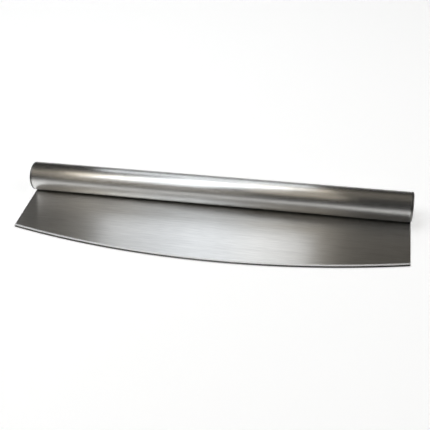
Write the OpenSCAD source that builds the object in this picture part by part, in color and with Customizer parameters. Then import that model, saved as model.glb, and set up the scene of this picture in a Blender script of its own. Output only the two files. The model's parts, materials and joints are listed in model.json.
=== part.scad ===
// Rocking pizza knife: a flat sheet blade with a curved ground edge, welded along a closed tube handle.
// Every piece is drawn as the knife is used, with the tube along X and the edge pointing down -Z.
// The sheet lies against the tube's rear side, +Y. The knife is then laid on the sheet's rear face.

/* [Handle] */
// Length of the handle over its two end caps
handle_l = 350; // [250:1:500]
// Outer diameter of the tube
tube_d = 26.5; // [22:0.5:40]
// Wall thickness of the tube
tube_wall = 1.2; // [0.8:0.1:2]

/* [End caps] */
// Thickness of the disc that closes the tube's end
cap_t = 2; // [1.6:0.1:4]
// Radius of the cap's rounded outer rim
cap_rim_r = 1; // [0.5:0.1:1.5]
// Length of the skirt that is pressed into the tube
skirt_l = 8; // [4:0.5:10]
// Wall thickness of the skirt
skirt_wall = 1.2; // [0.8:0.1:2.5]
// Lead-in chamfer on the skirt's open end
skirt_lead = 0.5; // [0.2:0.1:0.6]
// Gap all round between the skirt and the tube's bore
skirt_gap = 0.02; // [0.01:0.01:0.1]
// Chamfer on both sides of the joint line between the cap and the tube
joint_chamfer = 0.2; // [0.1:0.05:0.3]

/* [Blade] */
// Thickness of the blade's sheet
blade_t = 1.5; // [1:0.1:2.5]
// Distance from the handle's end to the blade's side
blade_inset = 0; // [0:0.5:20]
// Distance from the tube's axis down to the middle of the cutting edge
blade_drop = 77; // [65:0.5:120]
// Radius of the curved cutting edge
edge_r = 820; // [600:10:1600]
// Radius of the blade's two lower corners
corner_r = 2; // [1:0.5:8]
// Chamfer that takes the burr off the blade's sides
side_chamfer = 0.4; // [0.1:0.1:0.4]

/* [Ground edge] */
// Height of the long first bevel
first_bevel_h = 2; // [1:0.1:6]
// Steel that the first bevel takes off each face
first_bevel_cut = 0.25; // [0.1:0.05:0.3]
// Height of the short second bevel
second_bevel_h = 1.1; // [0.5:0.1:3]
// Width of the blunt land left at the very edge
edge_land = 0.2; // [0.05:0.05:0.3]

/* [Joint of blade and tube] */
// Height of the sheet above the line where it touches the tube
sheet_rise = 3; // [2:0.5:6]
// Chamfer on the sheet's two upper corners
top_corner = 1.5; // [0.5:0.1:2]
// Gap between the tube and the sheet where they touch, bridged by the welds
seat_gap = 0.02; // [0.01:0.01:0.1]
// Distance from the touching line down to the root of the front weld
front_weld_root = 2; // [1.5:0.1:2.5]
// Distance from the touching line down to the face of the front weld
front_weld_face = 4.5; // [3.5:0.1:6]
// Height of the rear weld above the sheet's upper edge
rear_weld_h = 3; // [2:0.1:4]
// Bare stretch between a weld's end and the handle's end
weld_stop = 5; // [4:0.5:20]

/* [Hidden] */
$fn = 96;

// Overrun of a cutting shape past the face that it cuts
cut = 1;
// How far a rounded corner's circle crosses the faces that it blends, so that they meet cleanly
corner_blend = 0.01;
// Facets round the large circle of the cutting edge
edge_facets = 720;
// Facets round the tube's surface where it trims the thin welds
trim_facets = 480;

// Handle
tube_r = tube_d / 2;
bore_r = tube_r - tube_wall;
tube_l = handle_l - 2 * cap_t;
skirt_r = bore_r - skirt_gap;

// Blade, with its places measured from the tube's axis
blade_half_l = handle_l / 2 - blade_inset;
arc_centre_z = edge_r - blade_drop;
corner_reach = corner_r - corner_blend;
corner_x = blade_half_l - corner_reach;
corner_z = arc_centre_z - sqrt(pow(edge_r - corner_reach, 2) - pow(corner_x, 2));
// Stretch that carries a point from a corner's centre to just past the cutting edge
past_edge = (edge_r + cut) / (edge_r - corner_reach);

// Half thicknesses of the ground edge, from the sheet's face down to the land
sheet_half = blade_t / 2;
bevel_half = sheet_half - first_bevel_cut;
land_half = edge_land / 2;

// Distances from the tube's axis back to the sheet's front face, middle and rear face
sheet_front_y = tube_r + seat_gap;
sheet_middle_y = sheet_front_y + sheet_half;
sheet_rear_y = sheet_front_y + blade_t;

// The origin lies on the table, under the middle of the box that holds the knife
centre_y = (blade_drop - tube_r) / 2;

// Turns a piece from its place in use to its place on the table
module laid_down()
    translate([0, centre_y, sheet_rear_y])
        rotate([-90, 0, 0])
            children();

// Stands a flat drawing of X and Z up about the plane y = 0, as thick as given
module upright_sheet(thickness)
    rotate([90, 0, 0])
        linear_extrude(height = thickness, center = true)
            children();

// Turns a drawing of radius and length about the tube's axis, with the length along X
module turned_on_tube_axis()
    rotate([0, 90, 0])
        rotate_extrude()
            children();

// Section of a cap from its centre to its rim, with the tube's end face at length 0
module cap_section() {
    skirt_bore_r = skirt_r - skirt_wall;
    difference() {
        polygon([
            [0, 0],
            [skirt_bore_r, 0],
            [skirt_bore_r, -skirt_l],
            [skirt_r - skirt_lead, -skirt_l],
            [skirt_r, -skirt_l + skirt_lead],
            [skirt_r, 0],
            [tube_r - joint_chamfer, 0],
            [tube_r, joint_chamfer],
            [tube_r, cap_t],
            [0, cap_t]
        ]);
        rim_waste();
    }
}

// Corner that is rounded off the cap's outer rim
module rim_waste()
    translate([tube_r - cap_rim_r, cap_t - cap_rim_r])
        difference() {
            square(cap_rim_r + cut);
            circle(r = cap_rim_r);
        }

module end_cap()
    translate([tube_l / 2, 0, 0])
        turned_on_tube_axis()
            cap_section();

// Section of the tube's wall along its length, chamfered outside at both ends
module tube_wall_section()
    polygon([
        [bore_r, -tube_l / 2],
        [tube_r - joint_chamfer, -tube_l / 2],
        [tube_r, -tube_l / 2 + joint_chamfer],
        [tube_r, tube_l / 2 - joint_chamfer],
        [tube_r - joint_chamfer, tube_l / 2],
        [bore_r, tube_l / 2]
    ]);

module handle_tube()
    color("silver")
        laid_down()
            turned_on_tube_axis()
                tube_wall_section();

module end_cap_left()
    color("lightgray")
        laid_down()
            mirror([1, 0, 0])
                end_cap();

module end_cap_right()
    color("lightgray")
        laid_down()
            end_cap();

// Disc as thick as the sheet whose rim carries both bevels and the land
module ground_disc()
    translate([0, 0, arc_centre_z])
        rotate([90, 0, 0])
            rotate_extrude($fn = edge_facets)
                polygon([
                    [0, -sheet_half],
                    [edge_r - second_bevel_h - first_bevel_h, -sheet_half],
                    [edge_r - second_bevel_h, -bevel_half],
                    [edge_r, -land_half],
                    [edge_r, land_half],
                    [edge_r - second_bevel_h, bevel_half],
                    [edge_r - second_bevel_h - first_bevel_h, sheet_half],
                    [0, sheet_half]
                ]);

// Blade seen from the front, with sharp lower corners that reach past the curved edge
module blade_outline()
    polygon([
        [-blade_half_l, -blade_drop - cut],
        [-blade_half_l, sheet_rise - top_corner],
        [-blade_half_l + top_corner, sheet_rise],
        [blade_half_l - top_corner, sheet_rise],
        [blade_half_l, sheet_rise - top_corner],
        [blade_half_l, -blade_drop - cut]
    ]);

// Waste outside the rounded lower corner, between its side and the line to the arc's centre
module corner_waste_outline()
    difference() {
        polygon([
            [corner_x, corner_z],
            [blade_half_l + cut, corner_z],
            [blade_half_l + cut, -blade_drop - cut],
            [corner_x * past_edge, -blade_drop - cut],
            [corner_x * past_edge, arc_centre_z + (corner_z - arc_centre_z) * past_edge]
        ]);
        translate([corner_x, corner_z])
            circle(r = corner_r);
    }

module corner_waste()
    for (side = [0, 1])
        mirror([side, 0, 0])
            upright_sheet(blade_t + 2 * cut)
                corner_waste_outline();

// Square bars turned on their corners, which take the burr off the blade's sides
module side_chamfers() {
    bar = side_chamfer * sqrt(2);
    bar_l = 2 * (blade_drop + cut);
    for (side = [-1, 1], face = [-1, 1])
        translate([side * blade_half_l, face * sheet_half, 0])
            rotate([0, 0, 45])
                cube([bar, bar, bar_l], center = true);
}

module blade()
    color("gainsboro")
        laid_down()
            translate([0, sheet_middle_y, 0])
                difference() {
                    intersection() {
                        ground_disc();
                        upright_sheet(blade_t + 2 * cut)
                            blade_outline();
                    }
                    corner_waste();
                    side_chamfers();
                }

// Straight bead of the given section of Y and Z, trimmed where it meets the tube
module seam_bead()
    difference() {
        rotate([90, 0, 90])
            linear_extrude(height = handle_l - 2 * weld_stop, center = true)
                children();
        turned_on_tube_axis($fn = trim_facets)
            translate([0, -handle_l / 2])
                square([tube_r, handle_l]);
    }

// Bead that fills the narrow gap below the touching line, in front of the sheet
module seam_weld_front()
    color("darkgray")
        laid_down()
            seam_bead()
                polygon([
                    [sheet_front_y, -front_weld_root],
                    [sheet_front_y, -front_weld_face],
                    [bore_r, -front_weld_face],
                    [bore_r, -front_weld_root]
                ]);

// Bead on the sheet's upper edge, sloping up from its rear face to the tube's back
module seam_weld_rear() {
    toe_z = sheet_rise + rear_weld_h;
    toe_y = sqrt(pow(tube_r, 2) - pow(toe_z, 2));
    color("darkgray")
        laid_down()
            seam_bead()
                polygon([
                    [sheet_rear_y, sheet_rise],
                    [toe_y, toe_z],
                    [toe_y - tube_wall / 2, toe_z],
                    [toe_y - tube_wall / 2, sheet_rise]
                ]);
}

handle_tube();
end_cap_left();
end_cap_right();
blade();
seam_weld_front();
seam_weld_rear();
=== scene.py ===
"""Rocking pizza knife, laid on a table: a stainless tube handle with two end caps,
a sheet blade with a curved ground edge, and the two weld beads that join them.

Every piece is modelled as the knife is used, with the tube along X, the edge down -Z and
the sheet against the tube's rear side, +Y. It is then laid on the sheet's rear face, as
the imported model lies. Metres throughout.
"""

import json
import math
from contextlib import contextmanager

import bmesh
import bpy
from bpy.props import FloatProperty, FloatVectorProperty, PointerProperty
from mathutils import Matrix, Vector

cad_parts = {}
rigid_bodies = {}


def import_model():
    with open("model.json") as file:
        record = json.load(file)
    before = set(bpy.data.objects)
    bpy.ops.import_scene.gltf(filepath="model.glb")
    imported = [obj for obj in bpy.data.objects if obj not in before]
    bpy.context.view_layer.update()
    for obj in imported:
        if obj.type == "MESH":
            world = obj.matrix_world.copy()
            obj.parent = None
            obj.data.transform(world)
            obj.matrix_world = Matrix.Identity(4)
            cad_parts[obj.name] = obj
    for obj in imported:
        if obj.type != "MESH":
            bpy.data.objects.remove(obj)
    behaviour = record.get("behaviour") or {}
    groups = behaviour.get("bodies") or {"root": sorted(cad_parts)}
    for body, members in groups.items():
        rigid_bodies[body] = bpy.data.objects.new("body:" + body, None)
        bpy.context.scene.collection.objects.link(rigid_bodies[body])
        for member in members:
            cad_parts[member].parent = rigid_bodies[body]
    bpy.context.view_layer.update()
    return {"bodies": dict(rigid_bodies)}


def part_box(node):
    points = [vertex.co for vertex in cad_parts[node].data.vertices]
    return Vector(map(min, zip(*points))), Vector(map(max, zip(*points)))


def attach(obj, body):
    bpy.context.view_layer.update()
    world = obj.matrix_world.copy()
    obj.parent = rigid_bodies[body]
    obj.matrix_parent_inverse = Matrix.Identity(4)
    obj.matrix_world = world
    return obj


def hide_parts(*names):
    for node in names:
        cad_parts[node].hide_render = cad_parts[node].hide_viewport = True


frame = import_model()

bl_info = {
    "name": "Rocking Pizza Knife",
    "version": (1, 0, 0),
    "blender": (4, 5, 0),
    "location": "View3D > Sidebar > Knife",
    "description": "Models an all-steel rocking pizza knife round its packed CAD model",
    "category": "Object",
}

MM = 0.001
# Nothing on the knife moves, so it has one body
(BODY,) = frame["bodies"]
HANDLE_LENGTH = round(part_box("end_cap_right")[1].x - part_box("end_cap_left")[0].x, 5)

# Vertices round a turned piece, and steps along half of the blade's arc
RING = 128
ARC_STEPS = 26
# Two places that are nearer than this are the same
SAME_PLACE = 0.005 * MM
# How far the crown of a weld ripple is swept along the seam, as a share of its length
RIPPLE_SWEEP = 0.3
# Brush lines per metre, counted across the brushing
BRUSH_LINES = 1500
# Principled's turns of the tangent that lay the brushing along X and across it
ALONG_X, ACROSS_X = 0.25, 0.0
# Tints of the softboxes
WHITE = (1.0, 1.0, 1.0)
COOL = (0.92, 0.96, 1.0)
WARM = (1.0, 0.9, 0.74)


def length(name, description, default):
    """A size in metres that a user may change."""
    return FloatProperty(
        name=name,
        description=description,
        default=default,
        min=0.0,
        precision=5,
        unit="LENGTH",
        subtype="DISTANCE",
    )


def share(name, description, default):
    """A number from 0 to 1."""
    return FloatProperty(
        name=name, description=description, default=default, min=0.0, max=1.0, subtype="FACTOR"
    )


def turn(name, description, degrees):
    """An angle, given here in degrees."""
    return FloatProperty(
        name=name,
        description=description,
        default=math.radians(degrees),
        unit="ROTATION",
        subtype="ANGLE",
    )


def colour(name, description, default):
    """A colour without alpha, in scene linear values."""
    return FloatVectorProperty(
        name=name,
        description=description,
        default=default,
        size=3,
        min=0.0,
        max=1.0,
        subtype="COLOR",
    )


def brightness(name, lamp, default):
    """How bright a lamp looks, where 1 shows as white."""
    return FloatProperty(
        name=name, description=f"Brightness of {lamp}, where 1 is white", default=default, min=0.0
    )


class KnifeSizes(bpy.types.PropertyGroup):
    """Sizes of the knife's pieces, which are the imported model's, and of the weld's ripples."""

    handle_length: length("Handle Length", "Length over both end caps", HANDLE_LENGTH)
    tube_diameter: length("Tube Diameter", "Outer diameter of the handle tube", 26.5 * MM)
    tube_wall: length("Tube Wall", "Wall thickness of the handle tube", 1.2 * MM)
    cap_thickness: length("Cap Thickness", "Thickness of an end cap's disc", 2 * MM)
    cap_rim: length("Cap Rim Radius", "Radius of a cap's rounded outer rim", 1 * MM)
    skirt_length: length("Skirt Length", "Length of a cap's skirt inside the tube", 8 * MM)
    skirt_wall: length("Skirt Wall", "Wall thickness of a cap's skirt", 1.2 * MM)
    skirt_lead: length("Skirt Lead-In", "Chamfer on the skirt's open end", 0.5 * MM)
    skirt_gap: length("Skirt Gap", "Gap between the skirt and the tube's bore", 0.02 * MM)
    joint_chamfer: length(
        "Joint Chamfer", "Chamfer on both sides of the joint of cap and tube", 0.2 * MM
    )
    blade_thickness: length("Blade Thickness", "Thickness of the blade's sheet", 1.5 * MM)
    blade_inset: length("Blade Inset", "From the handle's end to the blade's side", 0.0)
    blade_drop: length(
        "Blade Drop", "From the tube's axis to the middle of the cutting edge", 77 * MM
    )
    edge_radius: length("Edge Radius", "Radius of the curved cutting edge", 820 * MM)
    corner_radius: length("Corner Radius", "Radius of the blade's lower corners", 2 * MM)
    side_chamfer: length("Side Chamfer", "Chamfer along the blade's two sides", 0.4 * MM)
    first_bevel: length("First Bevel", "Height of the long first bevel", 2 * MM)
    first_cut: length("First Cut", "Steel the first bevel takes off each face", 0.25 * MM)
    second_bevel: length("Second Bevel", "Height of the short second bevel", 1.1 * MM)
    edge_land: length("Edge Land", "Width of the land left at the very edge", 0.2 * MM)
    sheet_rise: length("Sheet Rise", "Height of the sheet above its line on the tube", 3 * MM)
    top_corner: length("Top Corner", "Chamfer on the sheet's two upper corners", 1.5 * MM)
    seat_gap: length("Seat Gap", "Gap between the tube and the sheet at that line", 0.02 * MM)
    front_weld_root: length("Front Weld Root", "From that line to the weld's root", 2 * MM)
    front_weld_face: length("Front Weld Face", "From that line to the weld's face", 4.5 * MM)
    rear_weld_height: length(
        "Rear Weld Height", "Height of the rear weld above the sheet's edge", 3 * MM
    )
    weld_stop: length(
        "Weld Stop", "Bare stretch between a weld's end and the handle's end", 5 * MM
    )
    weld_ripple: length("Weld Ripple", "Length of one ripple of a weld bead", 1.25 * MM)


class SteelFinish(bpy.types.PropertyGroup):
    """Colours and polish of the steel."""

    tube_steel: colour("Tube Steel", "Colour of the tube's steel", (0.74, 0.735, 0.72))
    cap_steel: colour("Cap Steel", "Colour of the end caps' steel", (0.7, 0.69, 0.67))
    blade_steel: colour("Blade Steel", "Colour of the blade's steel", (0.75, 0.745, 0.735))
    weld_metal: colour("Weld Metal", "Colour of the weld metal", (0.5, 0.48, 0.45))
    # Painted highlight: the first bevel and the side chamfers are coloured brighter than the
    # blade's steel
    bevel_painted_highlight: colour("Bevel Steel", "Colour of the bright first bevel", (0.95, 0.95, 0.94))
    # Painted shade: the second bevel is coloured near black
    second_bevel_painted_shade: colour(
        "Whetted Steel", "Colour of the grey second bevel", (0.08, 0.078, 0.075)
    )
    heat_tint: colour("Heat Tint", "Straw colour that heat leaves on a weld", (0.6, 0.5, 0.33))
    tube_roughness: share("Tube Roughness", "Roughness of the brushed tube", 0.22)
    blade_roughness: share("Blade Roughness", "Roughness of the brushed blade", 0.29)
    brushing: share("Brushing", "How strongly the brushing stretches a reflection", 1.0)


class StudioSettings(bpy.types.PropertyGroup):
    """The table, the lamps and the camera."""

    table_size: length("Table Size", "Side of the square table", 24.0)
    table_colour: colour("Table Colour", "Colour of the pale table", (0.86, 0.86, 0.86))
    aim: FloatVectorProperty(
        name="Aim",
        description="Point of the table that the camera looks at",
        default=(0.0034726, 0.0150707, 0.0),
        size=3,
        unit="LENGTH",
        subtype="TRANSLATION",
    )
    distance: length("Distance", "From the camera to that point", 0.63329)
    azimuth: turn("Azimuth", "Turn of the camera round the knife", 14.919)
    elevation: turn("Elevation", "Height of the camera above the table, as an angle", 40.6253)
    roll: turn("Roll", "Turn of the camera about its own line of sight", -4.6036)
    lens: FloatProperty(
        name="Lens",
        description="Focal length for a 36 mm sensor",
        default=58.6573,
        min=1.0,
        unit="CAMERA",
    )
    key_light: brightness("Key Light", "the narrow softbox overhead", 2.4)
    rear_light: brightness("Rear Light", "the softboxes behind the knife", 1.38)
    high_light: brightness("High Light", "the small softboxes high in front", 1.3)
    front_light: brightness("Front Light", "the softboxes in front on the left", 0.22)
    fill_light: brightness("Fill Light", "the wide softbox on the right", 0.11)
    side_light: brightness("Side Light", "the lamps far out at both sides", 1.9)


# Modelling by hand


def select_only(piece):
    """Leaves just this piece selected and active."""
    bpy.ops.object.select_all(action="DESELECT")
    piece.select_set(True)
    bpy.context.view_layer.objects.active = piece


def started(name):
    """Names the primitive that was just added and puts its place into its mesh."""
    piece = bpy.context.object
    piece.name = piece.data.name = name
    bpy.ops.object.transform_apply(location=True, rotation=True, scale=True)
    return piece


@contextmanager
def edit_mode(piece):
    """Edit mode on this piece, with nothing selected at first."""
    select_only(piece)
    bpy.ops.object.mode_set(mode="EDIT")
    bpy.ops.mesh.select_all(action="DESELECT")
    yield
    bpy.ops.object.mode_set(mode="OBJECT")


def pick(kind, test):
    """In edit mode, selects only the VERT, EDGE or FACE parts that pass the test."""
    bpy.ops.mesh.select_mode(type=kind)
    bpy.ops.mesh.select_all(action="DESELECT")
    mesh = bmesh.from_edit_mesh(bpy.context.edit_object.data)
    parts = {"VERT": mesh.verts, "EDGE": mesh.edges, "FACE": mesh.faces}[kind]
    found = [part for part in parts if test(part)]
    if not found:
        raise RuntimeError(f"nothing to select on {bpy.context.edit_object.name}")
    for part in found:
        part.select_set(True)
    mesh.select_flush_mode()
    bmesh.update_edit_mesh(bpy.context.edit_object.data)


def pick_verts(test):
    """Selects the vertices whose place passes the test."""
    pick("VERT", lambda vert: test(vert.co))


def pick_edges(test):
    """Selects the edges both of whose ends pass the test."""
    pick("EDGE", lambda edge: all(test(vert.co) for vert in edge.verts))


def near(a, b):
    """True if two lengths are the same, as far as a mesh can tell."""
    return abs(a - b) < SAME_PLACE


def stretch(value, centre):
    """Scales what is selected about a point."""
    bpy.ops.transform.resize(value=value, center_override=centre)


def slide(x=0.0, y=0.0, z=0.0):
    """Moves what is selected."""
    bpy.ops.transform.translate(value=(x, y, z))


def extrude(x):
    """Extrudes what is selected as one region, along X."""
    bpy.ops.mesh.extrude_region_move(TRANSFORM_OT_translate={"value": (x, 0, 0)})


def saw(point, normal, keep_all=False):
    """Cuts the mesh by a plane, takes off the side the normal points to and closes the cut."""
    bpy.ops.mesh.select_all(action="SELECT")
    bpy.ops.mesh.bisect(
        plane_co=point,
        plane_no=normal,
        use_fill=not keep_all,
        clear_outer=not keep_all,
        threshold=1e-7,
    )


def clean_mesh():
    """In edit mode, merges doubles and points every face outwards."""
    bpy.ops.mesh.select_mode(type="VERT")
    bpy.ops.mesh.select_all(action="SELECT")
    bpy.ops.mesh.remove_doubles(threshold=1e-6)
    bpy.ops.mesh.normals_make_consistent(inside=False)


def apply_modifier(piece, kind, **settings):
    """Adds a modifier, sets it up and applies it."""
    select_only(piece)
    bpy.ops.object.modifier_add(type=kind)
    modifier = piece.modifiers[-1]
    for name, value in settings.items():
        setattr(modifier, name, value)
    bpy.ops.object.modifier_apply(modifier=modifier.name)


def sheet_front(size):
    """Distance from the tube's axis back to the sheet's front face."""
    return size.tube_diameter / 2 + size.seat_gap


def axis_place(size):
    """The middle of the tube's axis, once the knife lies on the sheet's rear face."""
    middle_y = (size.blade_drop - size.tube_diameter / 2) / 2
    return Vector((0, middle_y, sheet_front(size) + size.blade_thickness))


def laid_down_matrix(size):
    """Takes a piece from its place in use to its place on the table."""
    return Matrix.Translation(axis_place(size)) @ Matrix.Rotation(-math.pi / 2, 4, "X")


def give_brushing_direction(piece):
    """Makes the steel's tangent the same all over a piece, and U run along X in its UV map.

    The tangent runs round the middle of the texture space, which is put far off for that.
    """
    mesh = piece.data
    mesh.use_auto_texspace = False
    far_off = -1000
    mesh.texspace_location = (0, far_off, 0)
    mesh.texspace_size = (1, 1, 1)
    layer = mesh.uv_layers[0]
    uv_per_metre = 2
    for face in mesh.polygons:
        across = face.normal.cross(Vector((1, 0, 0)))
        if across.length < 0.01:
            across = Vector((0, 1, 0))
        across.normalize()
        for corner in face.loop_indices:
            place = mesh.vertices[mesh.loops[corner].vertex_index].co
            layer.data[corner].uv = (place.x * uv_per_metre, across.dot(place) * uv_per_metre)


def finish_piece(piece, node, smooth_below, material):
    """Lays a piece down, dresses it and lets it stand for its CAD node.

    Edges are shaded smooth where their faces meet at less than smooth_below, in degrees.
    """
    select_only(piece)
    piece.matrix_world = laid_down_matrix(bpy.context.scene.knife_sizes)
    bpy.ops.object.transform_apply(location=True, rotation=True, scale=True)
    bpy.ops.object.shade_smooth_by_angle(angle=math.radians(smooth_below))
    piece.data.materials.append(material)
    give_brushing_direction(piece)
    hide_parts(node)
    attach(piece, BODY)


def make_handle_tube(size):
    """A wall section spun about the axis, with both ends chamfered outside."""
    tube_r = size.tube_diameter / 2
    bore_r = tube_r - size.tube_wall
    tube_l = size.handle_length - 2 * size.cap_thickness
    wall_r = (tube_r + bore_r) / 2
    bpy.ops.mesh.primitive_plane_add(
        size=1, location=(0, 0, wall_r), rotation=(math.pi / 2, 0, 0)
    )
    tube = started("brushed_handle_tube")
    with edit_mode(tube):
        bpy.ops.mesh.select_all(action="SELECT")
        stretch((tube_l, 1, size.tube_wall), (0, 0, wall_r))
        pick_verts(lambda p: near(p.z, tube_r))
        bpy.ops.mesh.bevel(offset=size.joint_chamfer, affect="VERTICES")
        # Only the outline is spun, so that no face is left inside the wall
        bpy.ops.mesh.select_all(action="SELECT")
        bpy.ops.mesh.delete(type="ONLY_FACE")
        bpy.ops.mesh.select_all(action="SELECT")
        bpy.ops.mesh.spin(steps=RING, angle=2 * math.pi, center=(0, 0, 0), axis=(1, 0, 0))
        clean_mesh()
    return tube


def make_end_cap(size, node, side):
    """A disc with a rounded rim, and the skirt that is pressed into the tube.

    It is modelled at the right end, and mirrored to the left one where side is -1.
    """
    tube_r = size.tube_diameter / 2
    skirt_r = tube_r - size.tube_wall - size.skirt_gap
    skirt_end_r = skirt_r - size.skirt_lead
    outer_x = size.handle_length / 2
    inner_x = outer_x - size.cap_thickness
    bpy.ops.mesh.primitive_cylinder_add(
        vertices=RING,
        radius=tube_r,
        depth=size.cap_thickness,
        location=((outer_x + inner_x) / 2, 0, 0),
        rotation=(0, math.pi / 2, 0),
    )
    cap = started(node + "_turned")
    with edit_mode(cap):
        pick_edges(lambda p: near(p.x, outer_x))
        bpy.ops.mesh.bevel(offset=size.cap_rim, segments=10, profile=0.5)
        pick_edges(lambda p: near(p.x, inner_x))
        bpy.ops.mesh.bevel(offset=size.joint_chamfer, segments=1)
        # The skirt grows from the inner face, with a lead-in at its open end and then a bore
        pick(
            "FACE",
            lambda face: face.normal.x < -0.9 and near(face.calc_center_median().x, inner_x),
        )
        bpy.ops.mesh.inset(thickness=tube_r - size.joint_chamfer - skirt_r)
        extrude(size.skirt_lead - size.skirt_length)
        extrude(-size.skirt_lead)
        lead = skirt_end_r / skirt_r
        stretch((1, lead, lead), (inner_x - size.skirt_length, 0, 0))
        bpy.ops.mesh.inset(thickness=skirt_end_r - (skirt_r - size.skirt_wall))
        extrude(size.skirt_length)
        clean_mesh()
    if side < 0:
        select_only(cap)
        bpy.ops.transform.mirror(orient_type="GLOBAL", constraint_axis=(True, False, False))
        bpy.ops.object.transform_apply(location=True, rotation=True, scale=True)
        with edit_mode(cap):
            clean_mesh()
    return cap


def make_blade(size):
    """The section is spun round the edge's centre, flattened at the top, trimmed and mirrored."""
    half_l = size.handle_length / 2 - size.blade_inset
    top_z, edge_z = size.sheet_rise, -size.blade_drop
    middle = (0, 0, (top_z + edge_z) / 2)
    centre_z = size.edge_radius - size.blade_drop
    top_r = centre_z - top_z
    overrun = math.radians(0.3)
    sweep = math.asin(half_l / top_r) + overrun
    bpy.ops.mesh.primitive_plane_add(size=1, location=middle, rotation=(0, math.pi / 2, 0))
    blade = started("ground_blade")
    with edit_mode(blade):
        bpy.ops.mesh.select_all(action="SELECT")
        stretch((1, size.blade_thickness, top_z - edge_z), middle)
        draw_ground_section(size, edge_z)
        bpy.ops.mesh.select_all(action="SELECT")
        bpy.ops.mesh.spin(
            steps=ARC_STEPS, angle=sweep, center=(0, 0, centre_z), axis=(0, 1, 0)
        )
        # The spun top is an arc, which is pressed flat
        pick_verts(lambda p: near(math.hypot(p.x, p.z - centre_z), top_r))
        stretch((1, 1, 0), (0, 0, top_z))
        trim_right_side(size, half_l)
        round_lower_corner(size, half_l, centre_z)
    apply_modifier(blade, "MIRROR", use_axis=(True, False, False), merge_threshold=1e-6)
    with edit_mode(blade):
        clean_mesh()
        bpy.ops.mesh.select_all(action="SELECT")
        slide(y=sheet_front(size) + size.blade_thickness / 2)
    return blade


def draw_ground_section(size, edge_z):
    """Narrows a plane towards the edge by both bevels and the land, and leaves its outline."""
    half_sheet = size.blade_thickness / 2
    second_z = edge_z + size.second_bevel
    first_z = second_z + size.first_bevel
    for row_z, half_t in ((first_z, half_sheet), (second_z, half_sheet - size.first_cut)):
        saw((0, 0, row_z), (0, 0, 1), keep_all=True)
        pick_verts(lambda p: near(p.z, row_z))
        stretch((1, half_t / half_sheet, 1), (0, 0, row_z))
    pick_verts(lambda p: near(p.z, edge_z))
    stretch((1, size.edge_land / size.blade_thickness, 1), (0, 0, edge_z))
    bpy.ops.mesh.select_all(action="SELECT")
    bpy.ops.mesh.delete(type="ONLY_FACE")
    for row_z in (first_z, second_z):
        pick_edges(lambda p: near(p.z, row_z))
        bpy.ops.mesh.delete(type="EDGE")


def trim_right_side(size, half_l):
    """Saws the sheet to length and chamfers its upper corner and its side."""
    half_sheet = size.blade_thickness / 2
    saw((half_l, 0, 0), (1, 0, 0))
    saw((half_l - size.top_corner, 0, size.sheet_rise), (1, 0, 1))
    for face_y in (-1, 1):
        saw((half_l - size.side_chamfer, face_y * half_sheet, 0), (1, face_y, 0))


def round_lower_corner(size, half_l, centre_z):
    """Takes the lower corner off by planes that touch its round in turn."""
    corner_x = half_l - size.corner_radius
    reach = size.edge_radius - size.corner_radius
    corner_z = centre_z - math.sqrt(reach**2 - corner_x**2)
    last = math.pi / 2 - math.asin(corner_x / reach)
    cuts = 11
    for cut in range(1, cuts):
        angle = last * cut / cuts
        normal = Vector((math.cos(angle), 0, -math.sin(angle)))
        saw(Vector((corner_x, 0, corner_z)) + normal * size.corner_radius, normal)


def weld_section(size, place):
    """The corners of a bead's section, and the height of its ripples.

    The corners go round from the root on the sheet. The last two are the toes of the open
    face, on the tube and on the sheet.
    """
    tube_r = size.tube_diameter / 2
    front_y = sheet_front(size)
    rear_y = front_y + size.blade_thickness

    def on_tube(z):
        return Vector((0, math.sqrt(tube_r**2 - z**2), z))

    if place == "front":
        crown = 0.05 * MM
        root_z, face_z = -size.front_weld_root, -size.front_weld_face
        corners = (
            Vector((0, front_y, root_z)),
            on_tube(root_z),
            on_tube(face_z),
            Vector((0, front_y, face_z)),
        )
        return corners, crown
    crown = 0.14 * MM
    toe_z = size.sheet_rise + size.rear_weld_height
    corners = (
        Vector((0, front_y, size.sheet_rise)),
        on_tube(size.sheet_rise),
        on_tube(toe_z),
        Vector((0, rear_y, size.sheet_rise)),
    )
    return corners, crown


def raise_ripple(corners, crown, start_x, step):
    """Raises the open face of one step of a bead into a ripple that is swept along the seam."""
    tube_toe, sheet_toe = corners[2], corners[3]
    ridge = (tube_toe + sheet_toe) / 2
    along = (tube_toe - sheet_toe).normalized()
    out = along.cross(Vector((1, 0, 0)))
    if out.dot(ridge - corners[0]) < 0:
        out.negate()

    def on_ridge(point):
        return near((Vector((0, point.y, point.z)) - ridge).length, 0)

    def on_crown(point):
        return near((point - ridge).dot(along), 0) and (point - ridge).dot(out) > crown / 4

    saw(ridge, along, keep_all=True)
    for share_x in (0.25, 0.6, 0.9):
        saw((start_x + share_x * step, 0, 0), (1, 0, 0), keep_all=True)
    for share_x, height in ((0, 0.35), (0.25, 0.8), (0.6, 1), (0.9, 0.6), (1, 0.35)):
        pick_verts(lambda p: on_ridge(p) and near(p.x, start_x + share_x * step))
        slide(y=out.y * height * crown, z=out.z * height * crown)
    pick_verts(on_crown)
    slide(x=RIPPLE_SWEEP * step)


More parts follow.
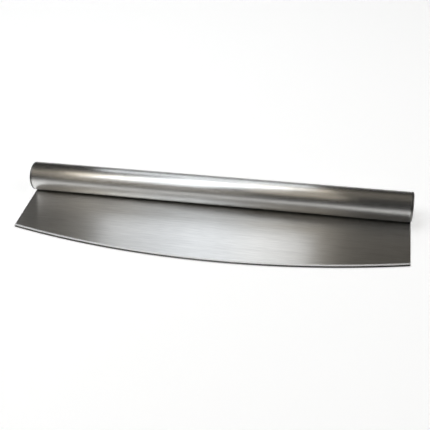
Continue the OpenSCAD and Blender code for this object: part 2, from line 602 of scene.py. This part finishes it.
def make_seam_weld(size, place):
    """One ripple of a weld bead, repeated along the seam, in front of or behind the sheet."""
    corners, crown = weld_section(size, place)
    bead_l = size.handle_length - 2 * size.weld_stop
    count = round(bead_l / size.weld_ripple)
    step = bead_l / count
    start_x = -bead_l / 2
    middle = sum(corners, Vector()) / 4 + Vector((start_x + step / 2, 0, 0))
    bpy.ops.mesh.primitive_cube_add(size=1, location=middle, scale=(step, MM, MM))
    bead = started("seam_weld_" + place + "_rippled")
    # Where the cube's corners are, in the order of the section's corners that they move to
    cube_sides = ((1, -1), (-1, -1), (-1, 1), (1, 1))
    with edit_mode(bead):
        for (side_y, side_z), corner in zip(cube_sides, corners):
            here = middle + Vector((0, side_y, side_z)) * MM / 2
            pick_verts(lambda p: near(p.y, here.y) and near(p.z, here.z))
            slide(y=corner.y - here.y, z=corner.z - here.z)
        clean_mesh()
        # A ripple is open at both ends, where it meets the next one
        pick("FACE", lambda part: abs(part.normal.x) > 0.9)
        bpy.ops.mesh.delete(type="ONLY_FACE")
        raise_ripple(corners, crown, start_x, step)
    apply_modifier(
        bead,
        "ARRAY",
        count=count,
        use_relative_offset=False,
        use_constant_offset=True,
        constant_offset_displace=(step, 0, 0),
        use_merge_vertices=True,
        merge_threshold=0.001 * MM,
    )
    sweep = RIPPLE_SWEEP * step
    with edit_mode(bead):
        for end_x in (start_x, -start_x):
            pick_edges(lambda p: end_x - SAME_PLACE < p.x < end_x + sweep + SAME_PLACE)
            bpy.ops.mesh.edge_face_add()
        clean_mesh()
    return bead


# Materials


class Shade:
    """A shader socket that takes part in Python sums, each of which adds its Math node."""

    def __init__(self, tree, socket=None):
        self.tree = tree
        self.socket = socket

    def node(self, kind, settings=None, inputs=None, output=0):
        """Adds a node, makes its settings, fills or links its inputs and returns one output."""
        made = self.tree.nodes.new(kind)
        for name, value in (settings or {}).items():
            setattr(made, name, value)
        for name, value in (inputs or {}).items():
            if isinstance(value, Shade):
                self.tree.links.new(value.socket, made.inputs[name])
            else:
                made.inputs[name].default_value = value
        return Shade(self.tree, made.outputs[output] if made.outputs else None)

    def of(self, name):
        """Another output of this value's node."""
        return Shade(self.tree, self.socket.node.outputs[name])

    def math(self, operation, *others):
        """The Math node of that operation on this value and the others."""
        return self.node(
            "ShaderNodeMath", {"operation": operation}, dict(enumerate((self, *others)))
        )

    def __add__(self, other):
        return self.math("ADD", other)

    __radd__ = __add__

    def __sub__(self, other):
        return self.math("SUBTRACT", other)

    def __rsub__(self, other):
        return self.node("ShaderNodeMath", {"operation": "SUBTRACT"}, {0: other, 1: self})

    def __mul__(self, other):
        return self.math("MULTIPLY", other)

    __rmul__ = __mul__

    def __pow__(self, other):
        return self.math("POWER", other)


def noise(place, scale, detail=4.0, seed=0.0):
    """Fractal noise of about 0.5, with its own number of waves per metre along X, Y and Z."""
    there = place.node(
        "ShaderNodeMapping",
        None,
        {"Vector": place, "Scale": scale, "Location": (seed, seed * 1.7, seed * 0.6)},
    )
    return place.node(
        "ShaderNodeTexNoise",
        None,
        {"Vector": there, "Scale": 1.0, "Detail": detail, "Roughness": 0.55},
    )


def ramp(value, low, high):
    """Runs smoothly from 0 at low to 1 at high."""
    return value.node(
        "ShaderNodeMapRange",
        {"interpolation_type": "SMOOTHSTEP"},
        {"Value": value, "From Min": low, "From Max": high},
    )


def mixed(factor, first, second):
    """Mixes two colours, which are the node's sockets 6 and 7 and leave it by its output 2."""
    return factor.node(
        "ShaderNodeMix",
        {"data_type": "RGBA"},
        {0: factor, 6: (*first, 1), 7: (*second, 1)},
        output=2,
    )


def scaled(tint, value):
    """A colour or a colour socket times a number."""
    return value.node("ShaderNodeVectorMath", {"operation": "SCALE"}, {0: tint, "Scale": value})


def coordinate(place, name):
    """The X, Y or Z of a place."""
    return place.node("ShaderNodeSeparateXYZ", None, {0: place}, name)


def new_material(name):
    """An empty material and the place of each point on the piece."""
    material = bpy.data.materials.new(name)
    material.use_nodes = True
    material.node_tree.nodes.clear()
    tree = Shade(material.node_tree)
    return material, tree.node("ShaderNodeTexCoord", output="Object")


def steel(place, tint, roughness, height, depth, brushing=0.0, turned=ALONG_X):
    """Bare steel with a bump of that height and depth.

    Brushing stretches its reflections, and turned says which way the brush lines run.
    """
    bump = place.node(
        "ShaderNodeBump", None, {"Height": height, "Strength": 1.0, "Distance": depth}
    )
    return place.node(
        "ShaderNodeBsdfPrincipled",
        None,
        {
            "Base Color": tint,
            "Metallic": 1.0,
            "Roughness": roughness,
            "Anisotropic": brushing,
            "Anisotropic Rotation": turned,
            "Normal": bump,
        },
    )


def show(shader):
    """Makes a shader the material's surface."""
    shader.node("ShaderNodeOutputMaterial", None, {"Surface": shader})


def overlaid(mask, under, over):
    """Lays one shader over another where the mask is 1."""
    return mask.node("ShaderNodeMixShader", None, {0: mask, 1: under, 2: over})


def brushed(place, tint, roughness, brushing, shade=1.0):
    """Steel brushed along X, in fine lines, wider lines, faint bands and worn clouds, its colour
    scaled by shade, which paints shade where it is below 1.
    """
    fine = noise(place, (70, BRUSH_LINES, BRUSH_LINES), detail=3, seed=3.1)
    lines = noise(place, (28, BRUSH_LINES * 0.4, BRUSH_LINES * 0.4), detail=4, seed=7.7)
    bands = noise(place, (5, 190, 190), detail=2, seed=1.3)
    clouds = noise(place, (14, 40, 40), detail=4, seed=5.9)
    worn = ramp(clouds, 0.35, 0.75)
    value = 0.66 + fine * 0.34 + lines * 0.24 + bands * 0.06 + worn * 0.03
    rough = roughness + (lines - 0.5) * 0.04 + (worn - 0.5) * 0.01
    height = fine * 0.5 + lines * 0.5
    tint = scaled(tint, value * shade)
    return steel(place, tint, rough, height, depth=0.0018 * MM, brushing=brushing)


def brushed_tube_steel(finish):
    """Steel brushed along the tube, with the short scuffs that a table and a drawer leave."""
    material, place = new_material("brushed_tube")
    plain = brushed(place, finish.tube_steel, finish.tube_roughness, finish.brushing)
    pits = noise(place, (900, 900, 900))
    dull = steel(place, (*finish.cap_steel, 1), 0.5, pits, depth=0.01 * MM)
    patch = ramp(noise(place, (30, 70, 70), detail=3, seed=2.4), 0.62, 0.72)
    scratch = ramp(noise(place, (240, 1500, 500), detail=2, seed=5.4), 0.6, 0.7)
    show(overlaid(patch * scratch * 0.5, plain, dull))
    return material


def turned_cap_steel(size, finish):
    """A satin face with fine turning rings, and painted shade that darkens the rounded rim."""
    material, place = new_material("satin_cap")
    tube_r = size.tube_diameter / 2
    axis = axis_place(size)
    across = coordinate(place, "Y") - axis.y
    above = coordinate(place, "Z") - axis.z
    radius = (across * across + above * above) ** 0.5
    rings = noise(radius.node("ShaderNodeCombineXYZ", None, {0: radius}), (2600, 1, 1), detail=3)
    mottle = noise(place, (300, 300, 300), detail=4, seed=2.2)
    # Painted shade: the colour is darkened by up to 68% towards the rounded rim
    rim = ramp(radius, tube_r - 1.1 * MM, tube_r - 0.4 * MM)
    value = (0.85 + rings * 0.15 + mottle * 0.12) * (1 - rim * 0.68)
    rough = 0.26 + mottle * 0.14
    show(steel(place, scaled(finish.cap_steel, value), rough, rings, depth=0.004 * MM))
    return material


def ground_blade_steel(size, finish):
    """The brushed sheet, with painted shade in the corner by the tube, its bevels and side
    chamfers.
    """
    material, place = new_material("brushed_blade")
    x = coordinate(place, "X")
    below_axis = axis_place(size).y - coordinate(place, "Y")
    from_centre = below_axis + (size.edge_radius - size.blade_drop)
    inside = size.edge_radius - (x * x + from_centre * from_centre) ** 0.5
    from_side = size.handle_length / 2 - size.blade_inset - x.math("ABSOLUTE")
    ground_h = size.first_bevel + size.second_bevel
    below_weld = below_axis - size.front_weld_face
    # Painted shade: the sheet's colour is darkened by up to 75% in the corner by the tube, fading
    # out from 0.5 to 5 mm below the front weld's face
    painted_corner_shade = 1 - ramp(below_weld, 0.5 * MM, 5 * MM)
    shade = 1 - painted_corner_shade * 0.75
    sheet = brushed(place, finish.blade_steel, finish.blade_roughness, finish.brushing, shade)
    marks = noise(place, (2600, 60, 60), detail=3, seed=4.2)
    # Painted highlight: the bevels and the side chamfers take the bright bevel colour, with their
    # own grinding marks, roughness and brushing across X
    bevel = steel(
        place,
        scaled(finish.bevel_painted_highlight, 0.9 + marks * 0.2),
        0.52 + (marks - 0.5) * 0.12,
        marks,
        depth=0.003 * MM,
        brushing=0.3,
        turned=ACROSS_X,
    )
    # Painted shade: the second bevel's near-black colour stands for shade along the edge
    second_bevel_shade = steel(
        place,
        scaled(finish.second_bevel_painted_shade, 0.8 + marks * 0.4),
        0.36 + (marks - 0.5) * 0.1,
        marks,
        depth=0.002 * MM,
    )
    # Masks for the painted highlight on the bevels and side chamfers, and for the painted shade
    # on the second bevel
    blur = 0.4 * MM
    side_chamfer_highlight = 1 - ramp(from_side, size.side_chamfer, size.side_chamfer + 0.1 * MM)
    ground = 1 - ramp(inside, ground_h - blur, ground_h)
    edge = 1 - ramp(inside, size.second_bevel, size.second_bevel + blur)
    shader = overlaid(ground.math("MAXIMUM", side_chamfer_highlight), sheet, bevel)
    show(overlaid(edge, shader, second_bevel_shade))
    return material


def weld_bead_metal(finish):
    """Cleaned weld metal, grainy, with patches of the straw tint that heat leaves."""
    material, place = new_material("weld_bead")
    grain = noise(place, (900, 900, 900), detail=5, seed=6.1)
    patches = ramp(noise(place, (45, 120, 120), detail=3, seed=9.3), 0.4, 0.65)
    tint = mixed(patches * 0.7, finish.weld_metal, finish.heat_tint)
    shaded = scaled(tint, 0.75 + grain * 0.5)
    show(steel(place, shaded, 0.38 + grain * 0.2, grain, depth=0.012 * MM))
    return material


# Operators


class KNIFE_OT_stage(bpy.types.Operator):
    """Sets the pale table, the world, the studio lamps and the camera"""

    bl_idname = "knife.stage"
    bl_label = "Set the Stage"

    def execute(self, context):
        make_stage(context.scene.knife_studio)
        return {"FINISHED"}


class KNIFE_OT_handle_tube(bpy.types.Operator):
    """Models the handle tube and brushes it along its length"""

    bl_idname = "knife.handle_tube"
    bl_label = "Make the Handle Tube"

    def execute(self, context):
        tube = make_handle_tube(context.scene.knife_sizes)
        material = brushed_tube_steel(context.scene.knife_finish)
        finish_piece(tube, "handle_tube", 30, material)
        return {"FINISHED"}


class KNIFE_OT_end_caps(bpy.types.Operator):
    """Models the two end caps, with their rounded rims and skirts"""

    bl_idname = "knife.end_caps"
    bl_label = "Make the End Caps"

    def execute(self, context):
        size, finish = context.scene.knife_sizes, context.scene.knife_finish
        material = turned_cap_steel(size, finish)
        for node, side in (("end_cap_left", -1), ("end_cap_right", 1)):
            cap = make_end_cap(size, node, side)
            finish_piece(cap, node, 25, material)
        return {"FINISHED"}


class KNIFE_OT_blade(bpy.types.Operator):
    """Models the blade with its ground edge, chamfered sides and rounded corners"""

    bl_idname = "knife.blade"
    bl_label = "Make the Blade"

    def execute(self, context):
        size, finish = context.scene.knife_sizes, context.scene.knife_finish
        blade = make_blade(size)
        material = ground_blade_steel(size, finish)
        finish_piece(blade, "blade", 4, material)
        return {"FINISHED"}


class KNIFE_OT_seam_welds(bpy.types.Operator):
    """Models the two rippled weld beads between the tube and the blade"""

    bl_idname = "knife.seam_welds"
    bl_label = "Make the Seam Welds"

    def execute(self, context):
        material = weld_bead_metal(context.scene.knife_finish)
        for place in ("front", "rear"):
            bead = make_seam_weld(context.scene.knife_sizes, place)
            finish_piece(bead, "seam_weld_" + place, 40, material)
        return {"FINISHED"}


def facing(direction, turned=0.0):
    """The rotation of a lamp or camera that looks that way, turned about its line of sight."""
    aim = direction.to_track_quat("-Z", "Y")
    return (aim @ Matrix.Rotation(turned, 3, "Z").to_quaternion()).to_euler()


def hang_softbox(name, over, distance, x, width, depth, level, spin=0, tint=WHITE):
    """Hangs a soft rectangular lamp that faces the knife and looks as bright as its level.

    over is its angle in degrees, over the top of the knife from the viewer's side, and spin
    is its turn in degrees about the line to the knife.
    """
    angle = math.radians(over)
    place = Vector((x, -distance * math.cos(angle), distance * math.sin(angle)))
    turned = facing(Vector((x, 0, 0)) - place, math.radians(spin))
    bpy.ops.object.light_add(type="AREA", location=place, rotation=turned)
    lamp = bpy.context.object
    lamp.name = lamp.data.name = name
    lamp.data.shape = "RECTANGLE"
    lamp.data.size = width
    lamp.data.size_y = depth
    lamp.data.color = tint
    lamp.data.energy = level * math.pi * width * depth
    return lamp


def in_view(start):
    """1 for the rays that the camera sees by, straight, in a reflection or through a piece."""
    rays = start.node("ShaderNodeLightPath", output="Is Camera Ray")
    return (rays + rays.of("Is Glossy Ray") + rays.of("Is Transmission Ray")).math("MINIMUM", 1.0)


def make_table(studio):
    """A wide pale table top, white to the camera and to reflections, that keeps its shadow."""
    bpy.ops.mesh.primitive_plane_add(size=studio.table_size)
    table = started("pale_table")
    material, place = new_material("pale_table")
    grain = noise(place, (60, 60, 60), detail=5)
    diffuse = place.node(
        "ShaderNodeBsdfPrincipled",
        None,
        {
            "Base Color": scaled(studio.table_colour, 0.99 + grain * 0.02),
            "Roughness": 0.8,
            "Specular IOR Level": 0.2,
        },
    )
    away = place.node("ShaderNodeVectorMath", {"operation": "LENGTH"}, {0: place}, "Value")
    lift_by_knife, further_lift = 0.49, 0.3
    lift = in_view(place) * (lift_by_knife + ramp(away, 0.6, 4) * further_lift)
    glow = place.node("ShaderNodeEmission", None, {"Color": (*WHITE, 1), "Strength": lift})
    both = place.node("ShaderNodeAddShader", None, {0: diffuse, 1: glow})
    place.node("ShaderNodeOutputMaterial", None, {"Surface": both})
    table.data.materials.append(material)


def make_world():
    """A dim studio over a pale backdrop that stands all round, past the table's far edge."""
    world = bpy.data.worlds.new("dim_studio")
    bpy.context.scene.world = world
    world.use_nodes = True
    world.node_tree.nodes.clear()
    start = Shade(world.node_tree)
    direction = start.node("ShaderNodeTexCoord", output="Generated")
    height = coordinate(direction, "Z")
    backdrop = in_view(start) * (1 - ramp(height, 0.01, 0.07))
    walls, ceiling = 0.012, 0.03
    strength = walls + ramp(height, 0.3, 0.9) * ceiling + backdrop * 0.7
    sky = height.node(
        "ShaderNodeBackground", None, {"Color": (1, 0.98, 0.95, 1), "Strength": strength}
    )
    height.node("ShaderNodeOutputWorld", None, {"Surface": sky})


def make_lamps(studio):
    """The softboxes that the steel mirrors, and a large lamp far out at each side."""
    # Name, degrees over the knife, distance, X, width, depth, brightness, spin and tint
    softboxes = (
        ("key_softbox", 88, 0.9, -0.235, 0.3, 0.85, studio.key_light, -20, COOL),
        ("rear_softbox", 138, 1.2, -0.265, 0.57, 0.5, studio.rear_light, 0, COOL),
        ("high_rear_softbox", 106, 1.1, -0.04, 0.22, 0.5, studio.rear_light * 0.6, 0, WARM),
        ("left_softbox", 80, 1.0, -0.47, 0.18, 0.4, studio.high_light, 0, WARM),
        ("right_softbox", 66, 1.0, -0.01, 0.22, 0.5, studio.high_light * 0.38, 0, WARM),
        ("front_softbox", 38, 1.0, -0.365, 0.48, 0.6, studio.front_light, 0, WARM),
        ("left_fill_softbox", 68, 1.0, -0.64, 0.26, 0.8, studio.front_light * 1.2, 0, WARM),
        ("fill_softbox", 110, 1.2, 0.42, 0.8, 1.2, studio.fill_light, 0, WARM),
    )
    for softbox in softboxes:
        hang_softbox(*softbox)
    for name, side in (("left_lamp", -1), ("right_lamp", 1)):
        lamp = hang_softbox(
            name,
            over=90,
            distance=1.2,
            x=side * 1.6,
            width=1.2,
            depth=1.4,
            level=studio.side_light,
        )
        lamp.rotation_euler = facing(-lamp.location)


def make_camera(studio):
    """The camera where the photograph was taken from, as found from the knife's outline."""
    reach = math.cos(studio.elevation)
    back = Vector(
        (
            math.sin(studio.azimuth) * reach,
            -math.cos(studio.azimuth) * reach,
            math.sin(studio.elevation),
        )
    )
    place = Vector(studio.aim) + back * studio.distance
    bpy.ops.object.camera_add(location=place, rotation=facing(-back, studio.roll))
    camera = bpy.context.object
    camera.name = camera.data.name = "photo_camera"
    camera.data.sensor_width = 36
    camera.data.lens = studio.lens
    camera.data.clip_start = 0.01
    camera.data.clip_end = 20
    bpy.context.scene.camera = camera


def make_stage(studio):
    """The table, the world, the lamps and the camera."""
    make_table(studio)
    make_world()
    make_lamps(studio)
    make_camera(studio)
    bpy.context.scene.view_settings.view_transform = "Standard"


class KNIFE_PT_workshop(bpy.types.Panel):
    """Lists the knife's pieces, its sizes and its studio"""

    bl_idname = "KNIFE_PT_workshop"
    bl_label = "Rocking Pizza Knife"
    bl_space_type = "VIEW_3D"
    bl_region_type = "UI"
    bl_category = "Knife"

    def draw(self, context):
        layout = self.layout
        for operator in OPERATORS:
            layout.operator(operator.bl_idname)
        for group in ("knife_sizes", "knife_finish", "knife_studio"):
            values = getattr(context.scene, group)
            box = layout.box()
            for name in values.__annotations__:
                box.prop(values, name)


OPERATORS = (
    KNIFE_OT_stage,
    KNIFE_OT_handle_tube,
    KNIFE_OT_end_caps,
    KNIFE_OT_blade,
    KNIFE_OT_seam_welds,
)
CLASSES = (KnifeSizes, SteelFinish, StudioSettings, *OPERATORS, KNIFE_PT_workshop)


def register():
    """Registers the classes and gives the scene its values."""
    for item in CLASSES:
        bpy.utils.register_class(item)
    bpy.types.Scene.knife_sizes = PointerProperty(type=KnifeSizes)
    bpy.types.Scene.knife_finish = PointerProperty(type=SteelFinish)
    bpy.types.Scene.knife_studio = PointerProperty(type=StudioSettings)


def unregister():
    """Takes the values off the scene and the classes out again."""
    del bpy.types.Scene.knife_studio
    del bpy.types.Scene.knife_finish
    del bpy.types.Scene.knife_sizes
    for item in reversed(CLASSES):
        bpy.utils.unregister_class(item)


def main():
    """Makes the stage and every piece."""
    register()
    bpy.ops.knife.stage()
    bpy.ops.knife.handle_tube()
    bpy.ops.knife.end_caps()
    bpy.ops.knife.blade()
    bpy.ops.knife.seam_welds()


if __name__ == "__main__":
    main()
